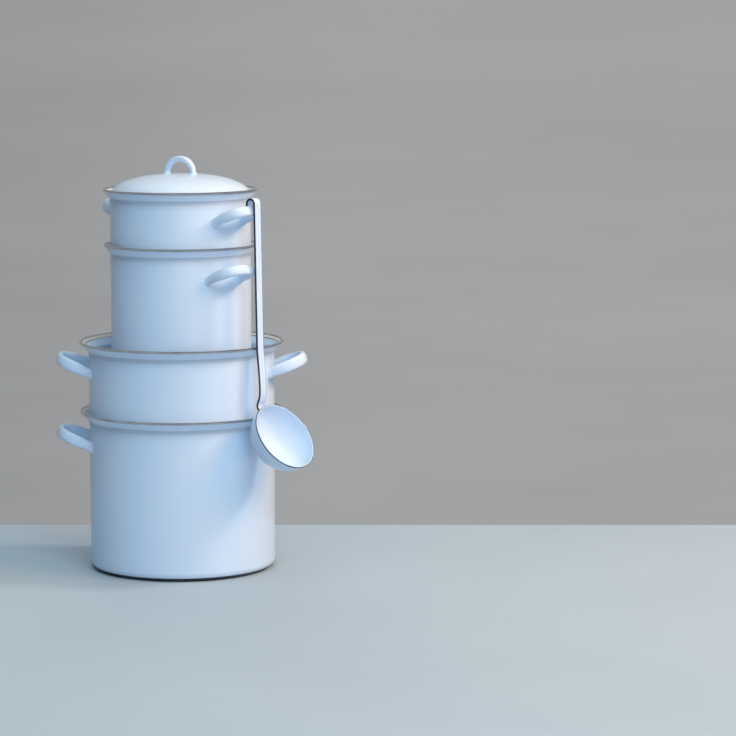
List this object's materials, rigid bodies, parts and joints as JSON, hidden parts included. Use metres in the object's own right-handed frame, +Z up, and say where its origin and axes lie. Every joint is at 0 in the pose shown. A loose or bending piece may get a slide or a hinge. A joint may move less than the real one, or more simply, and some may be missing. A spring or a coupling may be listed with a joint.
{
  "type": "enamel cookware stack",
  "caption": "Stack of pale blue enamelled steel pots with flared steel-edged rims and loop handles, a domed lid on top and a ladle hooked on the topmost handle.",
  "frame": {"origin": "centre of the large stockpot's flat base, on the surface it stands on", "axes": "+Z up along the pots' common axis; +X to the right and -Y to the front as the picture sees the stack, with the large handles along X"},
  "size_m": [0.3187, 0.2663, 0.5063],
  "materials": {
    "enamel": "glossy pale blue vitreous enamel on steel",
    "rim_steel": "bright rolled steel band"
  },
  "bodies": {
    "large_stockpot": {"large_stockpot_body": "enamel", "large_stockpot_rim_band": "rim_steel", "large_stockpot_handle_right": "enamel", "large_stockpot_handle_left": "enamel"},
    "large_casserole": {"large_casserole_body": "enamel", "large_casserole_rim_band": "rim_steel", "large_casserole_handle_right": "enamel", "large_casserole_handle_left": "enamel"},
    "small_stockpot": {"small_stockpot_body": "enamel", "small_stockpot_rim_band": "rim_steel", "small_stockpot_handle_right": "enamel", "small_stockpot_handle_left": "enamel"},
    "small_casserole": {"small_casserole_body": "enamel", "small_casserole_rim_band": "rim_steel", "small_casserole_handle_right": "enamel", "small_casserole_handle_left": "enamel"},
    "lid": {"lid_shell": "enamel", "lid_handle": "enamel"},
    "ladle": {"ladle_bowl": "enamel", "ladle_stem": "enamel"}
  },
  "joints": [
    {"name": "large_casserole_lift", "type": "slide", "parent": "large_stockpot", "child": "large_casserole", "axis": [0, 0, 1], "range_m": [0, 0.06]},
    {"name": "small_stockpot_lift", "type": "slide", "parent": "large_casserole", "child": "small_stockpot", "axis": [0, 0, 1], "range_m": [0, 0.12]},
    {"name": "small_casserole_lift", "type": "slide", "parent": "small_stockpot", "child": "small_casserole", "axis": [0, 0, 1], "range_m": [0, 0.06]},
    {"name": "lid_lift", "type": "slide", "parent": "small_casserole", "child": "lid", "axis": [0, 0, 1], "range_m": [0, 0.06]},
    {"name": "ladle_swing", "type": "hinge", "parent": "small_casserole", "child": "ladle", "pos_m": [0.0875, -0.0696, 0.449], "axis": [-0.6225, -0.7826, 0], "range_deg": [0, 50]}
  ]
}
